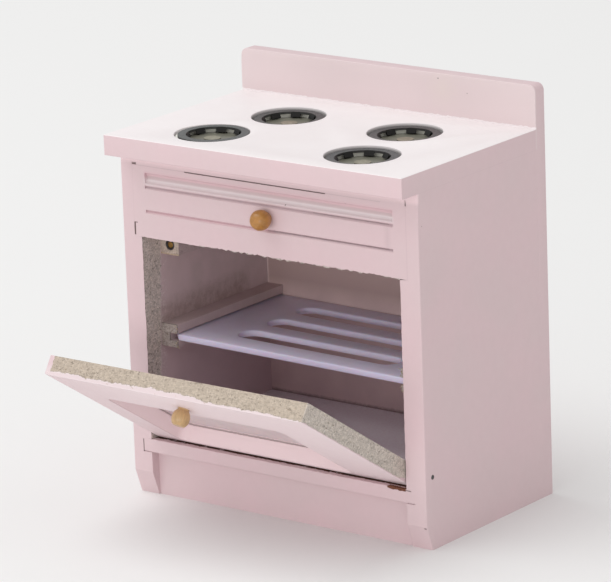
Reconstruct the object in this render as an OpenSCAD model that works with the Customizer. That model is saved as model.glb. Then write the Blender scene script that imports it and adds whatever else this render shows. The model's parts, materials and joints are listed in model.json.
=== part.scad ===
// Toy oven in painted wood: a drop-down door on two pins, one slotted shelf in
// grooved rails, a fixed false drawer front, and four burners set in the worktop.
// Millimetres. +Z is up, +X is to the right seen from the front, the door is at -Y.
// The origin is the middle of the back panel's underside.

/* [Body] */
// Width of the body, the worktop and the back panel
body_w = 76; // [70:0.5:90]
// Thickness of a side panel
side_t = 4.85; // [4:0.05:6]
// Depth of a side panel, from its front edge to the back panel
side_d = 41.7; // [38:0.1:55]
// Height of a side panel, up to the worktop
side_h = 74.7; // [68:0.1:85]
// Height of the slanted cut at the foot of a side panel
toe_h = 5.25; // [3:0.05:8]
// Depth of the slanted cut at the foot of a side panel
toe_d = 1.85; // [1:0.05:2.1]
// Thickness of the back panel
back_t = 3.3; // [2.5:0.1:5]
// Height that the back panel stands above the worktop
upstand_h = 9.15; // [4:0.05:20]
// Radius of the back panel's top corners
back_corner_r = 1.5; // [0.5:0.1:4]

/* [Worktop] */
// Thickness of the worktop
top_t = 4.35; // [3.8:0.05:6]
// Length that the worktop stands out past the front
top_overhang = 5.1; // [2:0.1:8]

/* [Lower front] */
// Height of the kick board, up to the oven floor
kick_h = 9.65; // [7:0.05:14]
// Thickness of the kick board
kick_t = 3; // [2:0.1:4]
// Depth that the kick board is set back from the front
kick_setback = 2.15; // [1.5:0.05:4]
// Thickness of the oven floor
floor_t = 2.95; // [2.5:0.05:4]
// Depth that the oven floor's ends are let into the side panels
floor_housing = 2.05; // [1:0.05:2.5]

/* [False drawer front] */
// Height of the false drawer front
drawer_front_h = 18; // [14:0.1:20]
// Thickness of the false drawer front
drawer_front_t = 4.1; // [3.5:0.1:5]
// Depth that the false drawer front's ends are let into the side panels
front_housing = 1.85; // [1:0.05:2.5]
// Distance from each end of the false drawer front to its mouldings
moulding_margin = 3.3; // [2:0.1:8]
// Depth of the hollow moulding's top edge below the worktop
cove_down = 4.1; // [2:0.1:4.5]
// Height of the hollow moulding
cove_h = 2.3; // [1.5:0.1:2.6]
// Depth of the hollow moulding
cove_depth = 0.8; // [0.4:0.1:1]
// Depth of the upper line below the worktop
upper_line_down = 7.2; // [7.2:0.1:8]
// Depth of the lower line below the worktop
lower_line_down = 12.4; // [12.4:0.1:13.2]
// Width of a line
line_w = 0.8; // [0.4:0.1:1]

/* [Door] */
// Angle that the door stands open, where 0 is shut
door_open = 57; // [0:1:90]
// Thickness of the door
door_t = 4.1; // [3.6:0.1:4.5]
// Gap between each end of the door and the side panel
door_gap = 0.27; // [0.15:0.01:0.5]
// Gap above the shut door
door_top_gap = 0.42; // [0.3:0.02:1]
// Distance from the front of the oven to the pin's axis
hinge_back = 2.45; // [2:0.05:2.6]
// Height of the pin's axis above the oven floor
hinge_rise = 2.74; // [2.7:0.02:3.2]
// Gap between the door's rounded foot and the oven floor
swing_gap = 0.12; // [0.1:0.01:0.2]
// Radius of a hinge pin
pin_r = 0.5; // [0.4:0.05:0.7]
// Length of a hinge pin
pin_l = 10; // [8.5:0.1:11]
// Running clearance round a hinge pin in the door
pin_play = 0.05; // [0.02:0.01:0.1]
// Width of the window
window_w = 45.3; // [30:0.1:46]
// Height of the window
window_h = 28.3; // [20:0.1:30]
// Distance from the door's left end to the window
window_left = 6.6; // [6.5:0.1:9]
// Height of the window's lower edge above the oven floor
window_rise = 2.4; // [2.2:0.05:4]
// Radius of the window's corners
window_corner_r = 2; // [0.5:0.1:4]
// Thickness of the sheet behind the window
pane_t = 0.5; // [0.3:0.05:0.6]
// Lap of the sheet round the top and sides of the window
pane_lap = 1.5; // [0.8:0.1:1.6]
// Lap of the sheet below the window
pane_low_lap = 0.6; // [0.3:0.1:0.8]

/* [Knobs] */
// Radius of the door's knob
door_knob_r = 1.9; // [1.6:0.05:3]
// Distance of the door's knob from the middle, to the right
door_knob_x = -2.5; // [-12:0.5:12]
// Distance of the door's knob below the door's top edge
door_knob_down = 8.4; // [5:0.1:9]
// Radius of the drawer's knob
drawer_knob_r = 2.15; // [1.6:0.05:3]
// Distance of the drawer's knob below the worktop
drawer_knob_down = 9.7; // [9:0.1:10.4]
// Radius of a knob's foot
knob_foot_r = 1.2; // [1:0.05:1.5]
// Radius of a knob's tenon
knob_tenon_r = 0.8; // [0.5:0.05:0.9]
// Length of a knob's tenon
knob_tenon_l = 2.6; // [1.5:0.1:3]

/* [Catch] */
// Width of the catch batten
batten_w = 4.8; // [4:0.1:7]
// Height of the catch batten
batten_h = 4.9; // [4.5:0.1:7]
// Distance of the batten's underside below the false drawer front
batten_drop = 5; // [4.8:0.1:7]
// Depth that the batten is set back from the front
batten_setback = 5.9; // [5.4:0.1:8]
// Radius of the catch's steel cup
catch_r = 1.15; // [0.9:0.05:1.6]
// Wall of the catch's steel cup
catch_wall = 0.4; // [0.25:0.05:0.5]
// Length of the catch's steel cup
catch_l = 4; // [2:0.1:6]
// Distance of the catch from the side panel
catch_in = 2.55; // [2:0.05:3]
// Height of the catch above the batten's underside
catch_up = 2.2; // [1.8:0.05:2.7]
// Radius of the head of the door's tack
door_tack_head_r = 1.2; // [1:0.05:2]
// Thickness of the head of the door's tack
door_tack_head_t = 0.2; // [0.1:0.05:0.4]
// Length of the shank of the door's tack
door_tack_l = 2.5; // [1.5:0.1:3]

/* [Shelf] */
// Thickness of the shelf
shelf_t = 1.4; // [1:0.1:2]
// Height of the shelf's underside above the oven floor
shelf_rise = 20.8; // [15:0.1:26]
// Depth that the shelf is set back from the front
shelf_setback = 5.5; // [5.4:0.1:8]
// Gap between the shelf and the back panel
shelf_back_gap = 0.2; // [0.1:0.05:0.5]
// Clearance between the shelf and the end of its groove
shelf_end_gap = 0.15; // [0.1:0.05:0.4]
// Clearance below the shelf in its groove
shelf_low_gap = 0.1; // [0.05:0.05:0.3]
// Clearance above the shelf in its groove
shelf_top_gap = 0.2; // [0.05:0.05:0.4]
// Length of the bevel at each front corner of the shelf
shelf_corner = 1.8; // [0.1:0.1:3]
// Number of slots
slot_n = 3; // [1:1:3]
// Width of a slot, front to back
slot_w = 5.6; // [3:0.1:7]
// Length of a slot
slot_l = 40.8; // [20:0.1:50]
// Distance of the slots from the middle of the shelf, to the right
slot_x = 1.6; // [-3:0.1:3]
// Distance from the shelf's front edge to the first slot
slot_first = 5.5; // [3:0.1:6]
// Distance from one slot to the next
slot_pitch = 10; // [9:0.1:10.5]
// Width of a shelf rail
rail_w = 4.1; // [3.4:0.1:6]
// Height of a shelf rail
rail_h = 4.9; // [4.9:0.1:7]
// Depth of the groove in a shelf rail
groove_depth = 2; // [1:0.1:2.4]
// Height of the shelf above the left rail's underside
left_rail_low = 1.45; // [1.2:0.05:2]
// Height of the shelf above the right rail's underside
right_rail_low = 1.35; // [1.2:0.05:2.4]
// Height that the right groove lies below the left one, so that the shelf leans
shelf_lean = 0.7; // [0:0.1:1.5]
// Depth that the shelf rails are set back from the front
rail_setback = 5; // [4.9:0.1:7]

/* [Burners] */
// Radius of a burner's pocket
pocket_r = 7.9; // [7:0.05:8.5]
// Distance from each end of the worktop to the front burners
front_pair_in = 18.75; // [12:0.05:20]
// Distance from each end of the worktop to the rear burners
rear_pair_in = 23.05; // [12:0.05:24]
// Distance of the front pair from the middle, to the right
front_shift = 0.2; // [-1:0.05:1]
// Distance of the rear pair from the middle, to the right
rear_shift = 0.65; // [-1:0.05:1]
// Distance from the worktop's front edge to the front burners
front_row_in = 12.25; // [10:0.05:13]
// Distance from the front burners to the rear burners
row_spacing = 19.85; // [18.5:0.05:23]
// Depth of a ring's top face below the worktop
ring_drop = 0.5; // [0.1:0.05:0.9]
// Thickness of a ring
ring_t = 0.5; // [0.4:0.05:0.7]
// Gap between a ring and its pocket
ring_gap = 0.45; // [0.3:0.05:0.7]
// Width of a ring's flat band
ring_band = 1.7; // [1.5:0.05:2.6]
// Number of teeth inside a ring
tooth_n = 8; // [6:1:10]
// Length of a tooth
tooth_l = 1.2; // [0.8:0.05:1.2]
// Width of a tooth
tooth_w = 2.1; // [1:0.05:2.3]
// Angle that a tooth is bent down
tooth_bend = 60; // [20:1:60]
// Gap between the front left ring's right edge and its pocket's wall
ring_side_gap = 0.05; // [0.02:0.01:0.45]
// Clearance between a ring's teeth and its cup's bowl
bowl_step = 0.25; // [0.2:0.05:0.5]
// Depth of a cup's bowl
bowl_depth = 0.85; // [0.75:0.05:1]
// Thickness of a cup's sheet
cup_sheet = 0.3; // [0.2:0.05:0.4]
// Gap between a cup's flange and its pocket
cup_gap = 0.3; // [0.1:0.05:0.6]
// Radius of the head of a cup's tack
cup_tack_head_r = 1.75; // [1.2:0.05:2.2]
// Thickness of the head of a cup's tack
cup_tack_head_t = 0.35; // [0.2:0.05:0.5]
// Length of a cup's tack below its head
cup_tack_l = 1.6; // [1:0.05:1.8]
// Radius of a tack's shank
tack_r = 0.45; // [0.3:0.05:0.5]

/* [Hidden] */
$fn = 64;

// Clearance round a fixed pin, tenon, cup or tack in its hole
seat_gap = 0.02;
// Depth left beyond the end of a pin, tenon or tack in its hole
end_gap = 0.2;
// Length that a cutting shape runs past the face it cuts
over = 1;

// Levels and faces of the body
half_w = body_w / 2;
inner_x = half_w - side_t;
back_front_y = -back_t / 2;
front_y = back_front_y - side_d;
floor_z = kick_h + floor_t;
drawer_front_z = side_h - drawer_front_h;
worktop_z = side_h + top_t;

// Door, shut: its own frame has the pin's axis at y = 0, z = 0
hinge_y = front_y + hinge_back;
hinge_z = floor_z + hinge_rise;
door_w = 2 * (inner_x - door_gap);
door_top = drawer_front_z - door_top_gap - hinge_z;
door_foot_r = hinge_rise - swing_gap;
door_back_y = door_t - hinge_back;
window_x = -door_w / 2 + window_left;
window_z = window_rise - hinge_rise;
pin_bore_end = half_w - pin_l - end_gap;

// Knobs: the head is a ball whose centre stands this far from the face
knob_reach = 1.05;

// Catch
batten_z = drawer_front_z - batten_drop;
batten_y = front_y + batten_setback;
catch_x = -inner_x + catch_in;
catch_z = batten_z + catch_up;

// Shelf and rails
shelf_z = floor_z + shelf_rise;
shelf_y = front_y + shelf_setback;
shelf_half_w = inner_x - rail_w + groove_depth - shelf_end_gap;
shelf_depth = back_front_y - shelf_back_gap - shelf_y;
groove_h = shelf_t + shelf_low_gap + shelf_top_gap;
// The shelf leans about the middle, between the middles of its two grooves
groove_mid_x = inner_x - rail_w + groove_depth / 2;
shelf_angle = atan(shelf_lean / (2 * groove_mid_x));

// Burners, in the order front left, front right, rear left, rear right
front_row_y = front_y - top_overhang + front_row_in;
rear_row_y = front_row_y + row_spacing;
burner_places = [
    [front_shift - half_w + front_pair_in, front_row_y],
    [front_shift + half_w - front_pair_in, front_row_y],
    [rear_shift - half_w + rear_pair_in, rear_row_y],
    [rear_shift + half_w - rear_pair_in, rear_row_y]];
ring_r = pocket_r - ring_gap;
ring_hole_r = ring_r - ring_band;
ring_z = worktop_z - ring_drop - ring_t;
ring_shift = ring_gap - ring_side_gap;
bowl_r = ring_hole_r + ring_shift + bowl_step;
cup_floor_z = ring_z - bowl_depth;
pocket_z = cup_floor_z - cup_sheet;
// The front left burner stands higher than the rest, its ring level with the worktop
burner_rise = [ring_drop - seat_gap, 0, 0, 0];

painted_front = [0.87, 0.78, 0.79];
painted_side = [0.78, 0.69, 0.7];
painted_top = [0.94, 0.91, 0.91];
bare_board = [0.76, 0.7, 0.62];
turned_wood = [0.74, 0.58, 0.37];
dark_steel = [0.33, 0.32, 0.32];
bright_metal = [0.8, 0.8, 0.8];
yellow_brass = [0.62, 0.55, 0.35];

// A box given by its lowest and its highest corner
module block(low, high) {
    translate(low) cube(high - low);
}

// A cylinder along X, from one x to another
module rod_x(radius, from_x, to_x) {
    translate([from_x, 0, 0]) rotate([0, 90, 0]) cylinder(r = radius, h = to_x - from_x);
}

// A cylinder along Y, from one y to another
module rod_y(radius, from_y, to_y) {
    translate([0, from_y, 0]) rotate([-90, 0, 0]) cylinder(r = radius, h = to_y - from_y);
}

// A rectangle with round corners, with its lower left corner at the origin
module rounded_rectangle(w, h, r) {
    translate([r, 0]) square([w - 2 * r, h]);
    translate([0, r]) square([w, h - 2 * r]);
    for (x = [r, w - r], y = [r, h - r]) translate([x, y]) circle(r);
}

// One side panel, on the right: the left one is its mirror image
module side_panel() {
    difference() {
        translate([inner_x, 0, 0]) rotate([90, 0, 90]) linear_extrude(side_t)
            polygon([[front_y + toe_d, 0], [back_front_y, 0], [back_front_y, side_h],
                [front_y, side_h], [front_y, toe_h]]);
        // Housing for the false drawer front's end
        block([inner_x - over, front_y - over, drawer_front_z],
            [inner_x + front_housing, front_y + drawer_front_t, side_h + over]);
        // Housing for the oven floor's end
        block([inner_x - over, front_y - over, kick_h],
            [inner_x + floor_housing, back_front_y + over, floor_z]);
        translate([0, hinge_y, hinge_z]) rod_x(pin_r + seat_gap, inner_x - over, half_w + over);
    }
}

module left_side() { color(painted_side) mirror([1, 0, 0]) side_panel(); }

module right_side() { color(painted_side) side_panel(); }

// Back panel and upstand, cut from one sheet
module back_panel() {
    color(painted_front) translate([-half_w, back_t / 2, 0]) rotate([90, 0, 0])
        linear_extrude(back_t) {
            square([body_w, worktop_z]);
            rounded_rectangle(body_w, worktop_z + upstand_h, back_corner_r);
        }
}

module worktop() {
    color(painted_top) difference() {
        block([-half_w, front_y - top_overhang, side_h], [half_w, back_front_y, worktop_z]);
        for (i = [0 : 3]) translate([burner_places[i].x, burner_places[i].y, burner_rise[i]]) {
            translate([0, 0, pocket_z]) cylinder(r = pocket_r, h = pocket_z);
            translate([0, 0, cup_floor_z - cup_tack_l - end_gap])
                cylinder(r = tack_r + seat_gap, h = pocket_z);
        }
    }
}

module kick_board() {
    color(painted_front) block([-inner_x, front_y + kick_setback, 0],
        [inner_x, front_y + kick_setback + kick_t, kick_h]);
}

module oven_floor() {
    floor_half_w = inner_x + floor_housing;
    color(painted_front) block([-floor_half_w, front_y, kick_h],
        [floor_half_w, back_front_y, floor_z]);
}

// A V-shaped line along the false drawer front
module front_line(down, length) {
    translate([-length / 2, front_y, side_h - down]) rotate([90, 0, 90])
        linear_extrude(length) polygon([[-over, line_w / 2 + over], [line_w / 2, 0],
            [-over, -line_w / 2 - over]]);
}

module drawer_front() {
    front_half_w = inner_x + front_housing;
    moulding_l = 2 * (front_half_w - moulding_margin);
    // The arc whose chord is the moulding's height and whose rise is its depth
    cove_r = (pow(cove_h / 2, 2) + pow(cove_depth, 2)) / (2 * cove_depth);
    color(painted_front) difference() {
        block([-front_half_w, front_y, drawer_front_z],
            [front_half_w, front_y + drawer_front_t, side_h]);
        translate([0, front_y + cove_depth - cove_r, side_h - cove_down - cove_h / 2])
            rod_x(cove_r, -moulding_l / 2, moulding_l / 2);
        front_line(upper_line_down, moulding_l);
        front_line(lower_line_down, moulding_l);
        translate([0, front_y, side_h - drawer_knob_down])
            rod_y(knob_tenon_r + seat_gap, -over, knob_tenon_l + end_gap);
    }
}

// A turned knob on the face y = 0: ball, foot and tenon, pointing to -Y
module knob(radius) {
    rotate([90, 0, 0]) rotate_extrude() {
        intersection() {
            translate([0, knob_reach + radius / 2]) circle(radius);
            translate([0, knob_reach - radius / 4]) square(2 * radius);
        }
        square([knob_foot_r, knob_reach + radius / 2]);
        translate([0, -knob_tenon_l]) square([knob_tenon_r, knob_tenon_l]);
    }
}

module drawer_knob() {
    color(turned_wood) translate([0, front_y, side_h - drawer_knob_down]) knob(drawer_knob_r);
}

module catch_batten() {
    color(bare_board) difference() {
        block([-inner_x, batten_y, batten_z],
            [-inner_x + batten_w, back_front_y, batten_z + batten_h]);
        translate([catch_x, batten_y, catch_z]) rod_y(catch_r + seat_gap, -over, catch_l);
    }
}

// Steel cup round the catch's magnet, with its mouth at the batten's front
module catch_cup() {
    color(dark_steel) translate([catch_x, batten_y, catch_z]) difference() {
        rod_y(catch_r, 0, catch_l);
        rod_y(catch_r - catch_wall, -over, catch_l - catch_wall);
    }
}

module catch_magnet() {
    color(yellow_brass) translate([catch_x, batten_y, catch_z])
        rod_y(catch_r - catch_wall - seat_gap, 0, catch_l - catch_wall);
}

// One rail on the right side panel, with its underside low below the shelf
module shelf_rail(seat_z, low) {
    difference() {
        block([inner_x - rail_w, front_y + rail_setback, seat_z - low],
            [inner_x, back_front_y, seat_z - low + rail_h]);
        block([inner_x - rail_w - over, front_y + rail_setback - over, seat_z - shelf_low_gap],
            [inner_x - rail_w + groove_depth, back_front_y + over,
                seat_z - shelf_low_gap + groove_h]);
    }
}

module shelf_rail_left() {
    color(painted_side) mirror([1, 0, 0]) shelf_rail(shelf_z, left_rail_low);
}

module shelf_rail_right() {
    color(painted_side) shelf_rail(shelf_z - shelf_lean, right_rail_low);
}

module oven_shelf() {
    slot_half_l = (slot_l - slot_w) / 2;
    color([0.6, 0.56, 0.66]) translate([0, shelf_y, shelf_z - shelf_lean / 2])
        rotate([0, shelf_angle, 0]) linear_extrude(shelf_t) difference() {
            polygon([[-shelf_half_w, shelf_corner], [shelf_corner - shelf_half_w, 0],
                [shelf_half_w - shelf_corner, 0], [shelf_half_w, shelf_corner],
                [shelf_half_w, shelf_depth], [-shelf_half_w, shelf_depth]]);
            for (i = [0 : slot_n - 1])
                translate([slot_x, slot_first + slot_w / 2 + i * slot_pitch]) {
                    square([2 * slot_half_l, slot_w], center = true);
                    for (x = [-slot_half_l, slot_half_l]) translate([x, 0]) circle(slot_w / 2);
                }
        }
}

// Carries what is drawn on the shut door to where the door stands open
module on_door() {
    translate([0, hinge_y, hinge_z]) rotate([door_open, 0, 0]) children();
}

// The door's end view: a board whose foot is rounded about the pin's axis
module door_profile() {
    translate([-hinge_back, 0]) square([door_t, door_top]);
    intersection() {
        circle(door_foot_r);
        translate([-hinge_back, -door_foot_r]) square([door_t, 2 * door_foot_r]);
    }
}

module door_frame() {
    color(painted_front) on_door() difference() {
        translate([-door_w / 2, 0, 0]) rotate([90, 0, 90]) linear_extrude(door_w) door_profile();
        translate([window_x, door_back_y + over, window_z]) rotate([90, 0, 0])
            linear_extrude(door_t + 2 * over)
                rounded_rectangle(window_w, window_h, window_corner_r);
        rod_x(pin_r + pin_play, pin_bore_end, half_w);
        rod_x(pin_r + pin_play, -half_w, -pin_bore_end);
        translate([door_knob_x, -hinge_back, door_top - door_knob_down])
            rod_y(knob_tenon_r + seat_gap, -over, knob_tenon_l + end_gap);
        translate([catch_x, door_back_y, catch_z - hinge_z])
            rod_y(tack_r + seat_gap, -door_tack_l - end_gap, over);
    }
}

// Thin sheet fixed over the window on the door's inner face
module door_pane() {
    color([0.83, 0.74, 0.75]) on_door()
        block([window_x - pane_lap, door_back_y, window_z - pane_low_lap],
            [window_x + window_w + pane_lap, door_back_y + pane_t,
                window_z + window_h + pane_lap]);
}

module door_knob() {
    color(turned_wood) on_door()
        translate([door_knob_x, -hinge_back, door_top - door_knob_down]) knob(door_knob_r);
}

// Steel tack on the door's inner face, which the magnet draws when the door is shut
module door_tack() {
    color(dark_steel) on_door() translate([catch_x, door_back_y, catch_z - hinge_z]) {
        rod_y(door_tack_head_r, 0, door_tack_head_t);
        rod_y(tack_r, -door_tack_l, door_tack_head_t);
    }
}

module hinge_pin_left() {
    color(dark_steel) translate([0, hinge_y, hinge_z]) rod_x(pin_r, -half_w, pin_l - half_w);
}

module hinge_pin_right() {
    color(dark_steel) translate([0, hinge_y, hinge_z]) rod_x(pin_r, half_w - pin_l, half_w);
}

// A flat ring with teeth bent down inside it, its underside at z = 0
module toothed_ring() {
    difference() {
        cylinder(r = ring_r, h = ring_t);
        translate([0, 0, -over]) cylinder(r = ring_hole_r, h = ring_t + 2 * over);
    }
    for (i = [0 : tooth_n - 1]) rotate([0, 0, (i + 0.5) * 360 / tooth_n])
        translate([ring_hole_r, -tooth_w / 2, ring_t])
            rotate([0, 180 - tooth_bend, 0]) cube([tooth_l, tooth_w, ring_t * 0.8]);
}

// Ring number i: the first lies against the right side of its pocket, the others in the middle
module burner_ring(i) {
    color(dark_steel) translate([burner_places[i].x + (i == 0 ? ring_shift : 0),
        burner_places[i].y, ring_z + burner_rise[i]]) toothed_ring();
}

// A cup pressed from sheet: a bowl with a flange that carries the ring
module burner_cup(i) {
    color(bright_metal) translate([burner_places[i].x, burner_places[i].y,
        cup_floor_z + burner_rise[i]])
        difference() {
            union() {
                translate([0, 0, -cup_sheet]) cylinder(r = bowl_r + cup_sheet,
                    h = bowl_depth + cup_sheet);
                translate([0, 0, bowl_depth - cup_sheet]) cylinder(r = pocket_r - cup_gap,
                    h = cup_sheet);
            }
            cylinder(r = bowl_r, h = bowl_depth + over);
            translate([0, 0, -over]) cylinder(r = tack_r + seat_gap, h = 2 * over);
        }
}

// The four tacks that hold the cups down
module burner_tacks() {
    for (i = [0 : 3]) color(yellow_brass)
        translate([burner_places[i].x, burner_places[i].y, cup_floor_z + burner_rise[i]]) {
            cylinder(r = cup_tack_head_r, h = cup_tack_head_t);
            translate([0, 0, -cup_tack_l]) cylinder(r = tack_r, h = cup_tack_l + cup_tack_head_t);
        }
}

left_side();
right_side();
back_panel();
worktop();
kick_board();
oven_floor();
drawer_front();
drawer_knob();
catch_batten();
catch_cup();
catch_magnet();
shelf_rail_left();
shelf_rail_right();
oven_shelf();
door_frame();
door_pane();
door_knob();
door_tack();
hinge_pin_left();
hinge_pin_right();
burner_ring(0);  // burner_ring_1
burner_ring(1);  // burner_ring_2
burner_ring(2);  // burner_ring_3
burner_ring(3);  // burner_ring_4
burner_cup(0);  // burner_cup_1
burner_cup(1);  // burner_cup_2
burner_cup(2);  // burner_cup_3
burner_cup(3);  // burner_cup_4
burner_tacks();
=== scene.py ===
"""Dresses a small painted toy oven: boards, drawer front, door, shelf, knobs and burners."""

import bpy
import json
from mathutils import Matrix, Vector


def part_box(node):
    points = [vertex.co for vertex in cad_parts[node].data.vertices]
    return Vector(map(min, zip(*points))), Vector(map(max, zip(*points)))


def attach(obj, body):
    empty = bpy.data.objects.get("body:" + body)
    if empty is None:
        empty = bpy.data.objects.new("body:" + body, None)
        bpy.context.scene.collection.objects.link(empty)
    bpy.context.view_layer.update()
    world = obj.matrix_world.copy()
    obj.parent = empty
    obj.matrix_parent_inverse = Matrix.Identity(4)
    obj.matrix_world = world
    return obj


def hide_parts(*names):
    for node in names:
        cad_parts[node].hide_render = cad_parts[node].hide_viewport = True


bl_info = {
    "name": "Toy Oven",
    "version": (1, 0, 0),
    "blender": (4, 5, 0),
    "location": "View3D > Sidebar > Toy Oven",
    "description": "Dresses a small painted toy oven with its boards, door, shelf, knobs "
                   "and burners",
    "category": "Add Mesh",
}

import json
import math

import bmesh
import bpy
from bpy.props import FloatProperty, FloatVectorProperty, IntProperty, PointerProperty
from mathutils import Matrix, Vector, noise

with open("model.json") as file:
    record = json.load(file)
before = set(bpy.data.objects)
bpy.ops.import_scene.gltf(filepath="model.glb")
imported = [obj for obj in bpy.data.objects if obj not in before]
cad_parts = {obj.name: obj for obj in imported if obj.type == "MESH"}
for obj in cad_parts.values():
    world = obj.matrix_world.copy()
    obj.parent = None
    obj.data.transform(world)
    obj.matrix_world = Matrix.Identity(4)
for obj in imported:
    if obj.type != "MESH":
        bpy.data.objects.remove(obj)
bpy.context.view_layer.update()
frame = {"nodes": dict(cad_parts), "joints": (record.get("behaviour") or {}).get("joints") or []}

MM = 0.001
TOUCH = 1e-5  # metres; a point nearer than this to a face lies on it
# Finishes darken the faces that carry this attribute: partly painted shade on the teeth, painted
# shade and reflection at the cups' bottoms
DEEP = "deep"  # the attribute that is one on teeth and on the bottoms of cups
door_hinge = next(joint for joint in frame["joints"] if joint["name"] == "door_hinge")
HINGE = Vector(door_hinge["pos_m"])
OPEN = -math.radians(door_hinge["range_deg"][0])

# Places that finishes share, in millimetres
FRONT = (-43.6, -43.1)  # the front faces of the boards
INSIDE = (-33.3, 33.3)  # from one side panel to the other
UNDER_TOP = 74.8  # the worktop's underside
DOOR_FACE = 2.45  # from the hinge's axis to the door's outer face
DOOR_KNOB_UP = 32.54  # from the hinge's axis up the shut door to its knob
RING_BAND = 1.7  # the width of a burner ring's flat band


# Sizes and colours that a user may change

def length(name, description, millimetres, low=0.0, high=10.0):
    return FloatProperty(name=name, description=description, default=millimetres * MM,
                         min=low * MM, max=high * MM, subtype="DISTANCE", unit="LENGTH",
                         precision=5)


def colour(name, description, value):
    return FloatVectorProperty(name=name, description=description, default=value, size=3,
                               min=0.0, max=1.0, subtype="COLOR")


def metres(name, description, value, low, high):
    return FloatProperty(name=name, description=description, default=value, min=low, max=high,
                         unit="LENGTH")


def watts(name, description, value, high):
    return FloatProperty(name=name, description=description, default=value, min=0.0, max=high,
                         subtype="POWER", unit="POWER")


def degrees(name, description, value):
    return FloatProperty(name=name, description=description, default=math.radians(value),
                         subtype="ANGLE", unit="ROTATION")


class OvenSizes(bpy.types.PropertyGroup):
    board_round: length("Board rounding", "Radius of the painted boards' long edges",
                        0.2, 0.05, 0.6)
    rail_round: length("Rail rounding", "Radius under the rail below the door",
                       0.35, 0.05, 0.6)
    rim_round: length("Rim rounding", "Radius at the rims of pockets and of the window",
                      0.12, 0.03, 0.4)
    saw_step: length("Saw step", "Spacing of the tears along a sawn edge", 0.3, 0.1, 1.0)
    saw_depth: length("Saw depth", "Depth of the tears along a sawn edge", 0.26, 0.0, 0.5)
    knob_flat: length("Knob flat", "How far the balls of the knobs are flattened", 0.28, 0.0, 0.5)
    shelf_round: length("Shelf rounding", "Radius of the moulded shelf's edges", 0.35, 0.05, 0.6)
    ring_round: length("Ring rounding", "Radius of a burner ring's stamped edges", 0.05, 0.02, 0.2)
    fibre_r: length("Fibre radius", "Radius of a torn fibre at its root", 0.05, 0.01, 0.1)
    lathe_steps: IntProperty(name="Lathe steps", description="Faces round a turned piece",
                             default=64, min=16, max=128)


class OvenColours(bpy.types.PropertyGroup):
    pink: colour("Pink paint", "Paint of the body and the door", (0.69, 0.525, 0.548))
    thin_pink: colour("Thin pink paint", "Paint where it lies thin", (0.67, 0.527, 0.543))
    # Whiter paint on the worktop's top, partly a painted sheen
    top_white_and_sheen: colour("Worktop paint", "Paint of the worktop's top face", (0.875, 0.825, 0.83))
    wall: colour("Inner walls", "Thin greyish paint inside the oven", (0.65, 0.505, 0.515))
    board: colour("Bare board", "Sawn fibreboard without paint", (0.51, 0.43, 0.352))
    wall_board: colour("Old bare board", "Greyed fibreboard inside the oven", (0.64, 0.56, 0.51))
    pores: colour("Board pores", "Pores and shadows in bare board", (0.30, 0.235, 0.18))
    soot: colour("Cracks", "Dark brown in cracks and gaps", (0.075, 0.04, 0.03))
    maple: colour("Drawer knob wood", "Turned wood of the drawer's knob", (0.42, 0.193, 0.042))
    pale_maple: colour("Door knob wood", "Turned wood of the door's knob", (0.52, 0.335, 0.158))
    lilac: colour("Shelf plastic", "Moulded plastic of the shelf", (0.74, 0.69, 0.86))
    pane: colour("Window sheet", "Thin sheet behind the door's window", (0.72, 0.62, 0.63))
    steel: colour("Burner steel", "Dark steel of the burner rings", (0.088, 0.088, 0.088))
    # Near white, partly a painted reflection of the bright room in the bowls' walls
    cup: colour("Cup metal", "Bright metal of the burner cups", (0.94, 0.93, 0.86))
    brass: colour("Tack brass", "Dull brass of the cup tacks", (0.40, 0.37, 0.28))


class StageSettings(bpy.types.PropertyGroup):
    floor_size: metres("Floor size", "Side of the square floor", 4.0, 1.0, 10.0)
    floor: colour("Floor", "Colour of the plain floor", (0.865, 0.868, 0.865))
    backdrop: colour("Backdrop", "Colour seen behind the floor", (0.875, 0.878, 0.88))
    sky: FloatProperty(name="Room light", description="Strength of the light from all round",
                       default=0.70, min=0.0, max=2.0)
    key: watts("Main lamp", "Power of the large lamp", 19.6, 100.0)
    key_size: metres("Lamp size", "Diameter of the large lamp", 2.0, 0.1, 5.0)
    key_distance: metres("Lamp distance", "From the large lamp to the oven", 2.2, 0.5, 10.0)
    fill: watts("Front lamp", "Power of the low, wide lamp in front", 3.9, 20.0)
    fill_width: metres("Front lamp width", "Width of the lamp in front", 1.2, 0.1, 4.0)
    fill_height: metres("Front lamp height", "Height of the lamp in front", 0.24, 0.05, 2.0)
    fill_distance: metres("Front lamp distance", "From that lamp to the oven", 1.2, 0.5, 10.0)
    azimuth: degrees("Camera azimuth", "Camera's way round the oven", 37.72)
    elevation: degrees("Camera elevation", "Camera's height angle", 15.525)
    roll: degrees("Camera roll", "Tilt of the camera about its own axis", -2.115)
    distance: metres("Camera distance", "From the camera to its target", 0.947707, 0.1, 10.0)
    lens: FloatProperty(name="Lens", description="Focal length in millimetres on a 36 mm sensor",
                        default=265.24, min=20.0, max=1000.0)


# Finishes

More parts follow.
